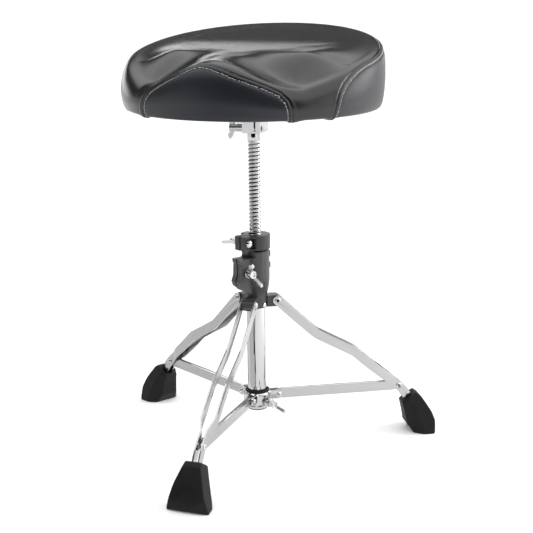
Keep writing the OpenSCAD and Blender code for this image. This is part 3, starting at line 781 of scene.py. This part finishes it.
def stuffed(shape, held):
    """How the cover swells over its filling: rest points and their moves, from a cloth simulation of a
    coarse copy that is sewn down along the seams and stapled round the hem."""
    around, up = np.linspace(0, 360, 220, endpoint=False), np.linspace(0, shape.last, 61)
    phi, v = np.meshgrid(around, up, indexing="xy")
    points = shape.points(phi, v)
    rows, cols = points.shape[:2]
    rest = np.vstack([points.reshape(-1, 3), points[-1].mean(0)[None]])
    pad = mesh_object("pad_trial", (rest * MM).tolist(), [*grid_faces(rows, cols), *cap_faces(rows, cols)])
    far = nearest(rest, held)[1]
    pins = pad.vertex_groups.new(name="sewn")
    pinned = np.where((far < 4) | (np.arange(len(rest)) < 4 * cols))[0]
    pins.add(pinned.tolist(), 1.0, "REPLACE")
    cloth = pad.modifiers.new("cloth", "CLOTH")
    cloth.settings.quality = 4
    cloth.settings.mass = 0.25
    cloth.settings.tension_stiffness = 12
    cloth.settings.compression_stiffness = 12
    cloth.settings.shear_stiffness = 4
    cloth.settings.bending_stiffness = 0.6
    cloth.settings.vertex_group_mass = "sewn"
    cloth.settings.use_pressure = True
    cloth.settings.uniform_pressure_force = 4
    cloth.settings.effector_weights.gravity = 0
    for step in range(1, 21):
        bpy.context.scene.frame_set(step)
    graph = bpy.context.evaluated_depsgraph_get()
    result = pad.evaluated_get(graph).data
    moved = np.empty(len(rest) * 3)
    result.vertices.foreach_get("co", moved)
    bpy.context.scene.frame_set(1)
    bpy.data.objects.remove(pad)
    moves = moved.reshape(-1, 3) / MM - rest
    sheet = moves[:-1].reshape(rows, cols, 3)
    for _ in range(RIPPLES_OUT):
        up, down = np.vstack([sheet[1:], sheet[-1:]]), np.vstack([sheet[:1], sheet[:-1]])
        sheet = (up + down + np.roll(sheet, 1, 1) + np.roll(sheet, -1, 1)) / 4
    moves[:-1] = sheet.reshape(-1, 3)
    return rest, moves


def swell(points, rest, moves, cap):
    """The simulated moves carried to points, none longer than cap."""
    size = np.linalg.norm(moves, axis=1, keepdims=True)
    moves = moves * np.minimum(1, cap / np.maximum(size, 1e-6))
    tree = tree_of(rest)
    out = np.zeros_like(points)
    for n, p in enumerate(points):
        near = tree.find_n(p, 5)
        weight = np.array([1 / (d + 1.5) ** 2 for _, _, d in near])
        out[n] = (moves[[k for _, k, _ in near]] * weight[:, None]).sum(0) / weight.sum()
    return out


def sewn(points, normals, lines):
    """Pulls the cover down into its seams, with a welt along them and puckers at the stitches."""
    depth = np.zeros(len(points))
    for line in lines:
        k, away = nearest(points, line.points)
        close = away < SEWN_IN
        k, p = k[close], points[close]
        off = np.sum((p - line.points[k]) * line.inward[k], axis=1)
        run = k + np.sum((p - line.points[k]) * line.along[k], axis=1)
        beat = 0.5 + 0.5 * np.cos(2 * np.pi * run / STITCH)
        groove = -1.7 * np.exp(-((off / 1.1) ** 2))
        welt = 0.9 * np.exp(-(((off - 3.2) / 2.2) ** 2)) + 0.5 * np.exp(-(((off + 3.4) / 2.4) ** 2))
        channel = -(0.55 + 0.35 * beat) * np.exp(-(((off - STITCH_IN) / 1.3) ** 2))
        pucker = 0.25 * beat * np.exp(-(((off - STITCH_IN) / 5) ** 2))
        depth[close] += groove + welt + channel - pucker
    return points + normals * depth[:, None]


def stitch_mesh(surface, lines):
    """Every stitch as a short thread lying on the cover."""
    ring, along = 7, np.array([-1.0, -0.8, -0.35, 0.35, 0.8, 1.0])
    radius = np.array([0.15, 0.75, 1.0, 1.0, 0.75, 0.15]) * THREAD_R
    arch = np.array([-0.35, 0.05, 0.3, 0.3, 0.05, -0.35])
    turn = np.linspace(0, 2 * np.pi, ring, endpoint=False)
    points, faces = [], []
    for line in lines:
        row = line.points + line.inward * STITCH_IN
        for k in np.arange(3, len(row) - 3, STITCH).astype(int):
            place, normal, _, _ = surface.find_nearest(Vector(row[k]))
            if place is None:
                continue
            t = unit(row[k + 2] - row[k - 2])
            n = unit(np.array(normal) - t * np.dot(normal, t))
            side = np.cross(t, n)
            base = len(points)
            for a, r, h in zip(along, radius, arch):
                centre = np.array(place) + t * a * STITCH * STITCH_SHARE + n * (0.15 + h)
                points += [centre + r * (np.cos(w) * side + np.sin(w) * n) for w in turn]
            faces += [tuple(base + k for k in quad) for quad in grid_faces(len(along), ring).tolist()]
            faces.append(tuple(base + i for i in reversed(range(ring))))
            faces.append(tuple(base + (len(along) - 1) * ring + i for i in range(ring)))
    return points, faces


def to_world(points):
    """Millimetres about the column carried to the frame."""
    out = np.array(points) * MM
    out[:, 0] += COLUMN.x
    out[:, 1] += COLUMN.y
    return out.tolist()


def seat():
    """The cover, sewn over its foam, and its stitches."""
    shape = Seat()
    lines = list(seams(shape))
    held = np.vstack([line.points for line in lines])
    v = np.concatenate([np.linspace(0, shape.crest, 73), np.linspace(shape.crest, shape.last, 37)[1:]])
    phi, v = np.meshgrid(np.linspace(0, 360, shape.cols, endpoint=False), v, indexing="xy")
    grid = shape.points(phi, v)
    rows, cols = grid.shape[:2]
    normals = grid_normals(grid).reshape(-1, 3)
    points = grid.reshape(-1, 3)

    slack = smooth(nearest(points, held)[1] / 45) * smooth((v.ravel() - 2) / 2.5)
    moves = swell(points, *stuffed(shape, held), SWELL_CAP)
    points = points + SETTLED * (moves - normals * (DRAWN_IN * slack)[:, None])
    near_hem = 1 - smooth((v.ravel() - 2.4) / 2.4)
    for line in lines:
        for end in (line.points[0], line.points[-1]):
            away = np.hypot(points[:, 0] - end[0], points[:, 1] - end[1])
            points[:, 2] -= HEM_DIP * np.exp(-((away / 9) ** 2)) * near_hem
    points = sewn(points, normals, lines)

    middle = points[-cols:].mean(0)
    faces, cap = grid_faces(rows, cols), cap_faces(rows, cols)
    cover = mesh_object("seat_cover_sewn", to_world(np.vstack([points, middle])), [*faces, *cap])
    cover.data.shade_smooth()
    dress(cover, "vinyl_top", "vinyl_nose_shaded", "vinyl_rear_lit")
    centre = points[faces].mean(1)
    row = v.ravel()[faces].mean(1)
    angle = from_nose(phi.ravel())[faces[:, 0]]
    # slot 1, the nose panel, takes the side vinyl painted darker and bluer as painted shade
    slots = np.zeros(len(faces) + len(cap), dtype=int)
    # slot 2, the rear panel, takes the side vinyl painted lighter as painted light
    for number, line in enumerate(lines, 1):
        k, away = nearest(centre, line.points)
        inside = np.sum((centre - line.points[k]) * line.inward[k], axis=1) > 0
        roughly = (angle < 39) if number == 1 else (angle > 55)
        slots[: len(faces)][inside & roughly & (row < shape.crest)] = number
    cover.data.polygons.foreach_set("material_index", slots)
    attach(cover, body_of("seat_cover"))
    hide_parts("seat_cover", "seat_foam")

    surface = BVHTree.FromPolygons(points.tolist(), faces.tolist())
    made, quads = stitch_mesh(surface, lines)
    stitches = mesh_object("seat_stitches", to_world(made), quads)
    stitches.data.shade_smooth()
    dress(stitches, "thread")
    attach(stitches, body_of("seat_cover"))


def dust_cloth():
    """The cloth stapled under the board: it hangs a little between its staples and round the clamp plate."""
    low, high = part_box("dust_cover")
    centre = (low + high) / 2
    half = (high - low) / 2
    plate_low, plate_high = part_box("seat_clamp")
    hole = (plate_high - plate_low) / 2 + Vector((1, 1, 0)) * MM
    cols, rows, staples = 240, 24, 30
    gap, hang, scallop, wave = 0.25, 0.9, 0.35, 0.12    # in millimetres, down from the board
    staple_in, half_staple = 5 * MM, 5 * MM
    points = []
    for r in np.linspace(0, 1, rows):
        for phi in np.linspace(0, 2 * np.pi, cols, endpoint=False):
            c, d = math.cos(phi), math.sin(phi)
            edge = half.x * half.y / math.hypot(half.y * c, half.x * d)
            inner = min(hole.x / max(abs(c), 1e-6), hole.y / max(abs(d), 1e-6))
            radius = inner + (edge - inner) * r
            between = 0.5 - 0.5 * math.cos(staples * phi)
            sag = hang * math.sin(math.pi * r) ** 0.7 + scallop * r**6 * between
            ripple = wave * math.sin(14 * phi + 5 * r) * math.sin(math.pi * r)
            points.append((centre.x + radius * c, centre.y + radius * d, high.z - (gap + sag + ripple) * MM))
    sheet = mesh_object("dust_cloth_sheet", points, grid_faces(rows, cols))
    thick = sheet.modifiers.new("thick", "SOLIDIFY")
    thick.thickness = 0.4 * MM
    apply_modifiers(sheet)
    sheet.data.shade_smooth()
    stands_for(sheet, "dust_cover", "dust_cloth", "dust_cloth")

    made, faces = [], []
    for k in range(staples):
        phi = 2 * math.pi * k / staples
        c, d = math.cos(phi), math.sin(phi)
        radius = half.x * half.y / math.hypot(half.y * c, half.x * d) - staple_in
        place = Vector((centre.x + radius * c, centre.y + radius * d, high.z - 0.75 * MM))
        out, side, up = Vector((c, d, 0)), Vector((-d, c, 0)), Vector((0, 0, 1))
        base = len(made)
        for end in (-half_staple, half_staple):
            for b, h in ((-0.45, -0.35), (0.45, -0.35), (0.3, 0.35), (-0.3, 0.35)):
                made.append(place + side * end + out * b * MM + up * h * MM)
        box = [(i, (i + 1) % 4, (i + 1) % 4 + 4, i + 4) for i in range(4)] + [(3, 2, 1, 0), (4, 5, 6, 7)]
        faces += [tuple(base + i for i in face) for face in box]
    staple_row = mesh_object("seat_staples", made, faces)
    dress(staple_row, "zinc_steel")
    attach(staple_row, body_of("dust_cover"))


# ---------------------------------------------------------------- studio


def area_light(name, place, target, size, power):
    light = bpy.data.lights.new(name, "AREA")
    light.shape = "RECTANGLE"
    light.size, light.size_y = size
    light.energy = power
    obj = bpy.data.objects.new(name, light)
    obj.location = place
    obj.rotation_euler = (Vector(target) - Vector(place)).to_track_quat("-Z", "Y").to_euler()
    bpy.context.scene.collection.objects.link(obj)


def studio_card(name, azimuth, spread, near, far, glow):
    """A card round the set, seen only in reflections, as a photographer's flags and cards are. It spans
    spread degrees to each side of an azimuth, between two (distance, height) edges."""
    points = []
    for distance, height, ends in ((*near, (-1, 1)), (*far, (1, -1))):
        for end in ends:
            a = math.radians(azimuth + end * spread)
            points.append((COLUMN.x + distance * math.cos(a), COLUMN.y + distance * math.sin(a), height))
    card = mesh_object(name, points, [(0, 1, 2, 3)])
    s = Shader(name)
    s.set(base_color=(0, 0, 0, 1), roughness=1.0, specular_ior_level=0.0,
          emission_color=(1, 1, 1, 1), emission_strength=glow)
    card.data.materials.append(s.material)
    card.visible_camera = card.visible_diffuse = card.visible_shadow = False
    card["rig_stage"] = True


def surroundings():
    """The room beyond the cards: grey up to the horizon, a dark band above it, and bright overhead."""
    stops = ((0.0, 0.45), (0.13, 0.4), (0.2, 0.0), (0.5, 0.0), (0.64, 0.95))
    world = bpy.data.worlds.new("studio")
    bpy.context.scene.world = world
    world.use_nodes = True
    tree = world.node_tree
    where = tree.nodes.new("ShaderNodeTexCoord").outputs["Generated"]
    split = tree.nodes.new("ShaderNodeSeparateXYZ")
    tree.links.new(where, split.inputs[0])
    ramp = tree.nodes.new("ShaderNodeValToRGB")
    elements = ramp.color_ramp.elements
    while len(elements) < len(stops):
        elements.new(0.5)
    for element, (place, grey) in zip(elements, stops):
        element.position = place
        element.color = (grey, grey, grey, 1)
    tree.links.new(split.outputs["Z"], ramp.inputs["Fac"])
    background = tree.nodes["Background"]
    tree.links.new(ramp.outputs["Color"], background.inputs["Color"])
    background.inputs["Strength"].default_value = 2.0


def studio():
    """A seamless white set with one soft key light and the cards that the chrome and the vinyl reflect."""
    reach = 40
    corners = [(-reach, -reach, 0), (reach, -reach, 0), (reach, reach, 0), (-reach, reach, 0)]
    floor = mesh_object("floor", corners, [(0, 1, 2, 3)])
    floor.data.materials.append(pale_floor("pale_floor"))
    floor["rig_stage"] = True
    surroundings()
    area_light("key", (2.2, 1.1, 1.3), (COLUMN.x, COLUMN.y, 0.5), (1.4, 1.4), 46)
    low = 0.003     # of the cards that lie just above the floor
    studio_card("flag_strip", -97, 7.5, (0.40, 0.02), (0.40, 0.26), 0.0)
    studio_card("grey_floor", -126, 34, (0.24, low), (1.5, low), 0.80)
    studio_card("pale_grey_floor", 173, 27, (0.24, low), (2.2, low), 1.0)
    studio_card("dark_front", -78, 38, (1.7, 0.42), (1.7, 1.8), 0.0)
    studio_card("bright_side", -18, 13, (1.5, 0.36), (1.5, 1.4), 1.5)
    studio_card("bright_back", 110, 50, (2.2, 0.60), (2.2, 1.02), 2.4)
    bpy.context.scene.view_settings.view_transform = "Standard"


def camera():
    """A long lens a little above the seat, in front of it and somewhat to its left; angles in degrees."""
    lens = bpy.data.cameras.new("camera")
    lens.lens = 83.9
    lens.sensor_width = 36
    obj = bpy.data.objects.new("camera", lens)
    distance, height = 2.0904, 0.8347
    heading, beside, pitch, roll = 20.71, 0.52, -13.82, 0.72    # beside: its aim, to one side of the column
    turn = math.radians(heading)
    obj.location = (COLUMN.x + distance * math.sin(turn), COLUMN.y - distance * math.cos(turn), height)
    turns = ((heading - beside, "Z"), (90 + pitch, "X"), (-roll, "Z"))
    yaw, tilt, lean = (Matrix.Rotation(math.radians(angle), 4, axis) for angle, axis in turns)
    obj.rotation_euler = (yaw @ tilt @ lean).to_euler()
    bpy.context.scene.collection.objects.link(obj)
    bpy.context.scene.camera = obj


studio()
camera()
hardware()
seat()
dust_cloth()

[[list(corner) for corner in box] for box in (cad_box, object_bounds())]
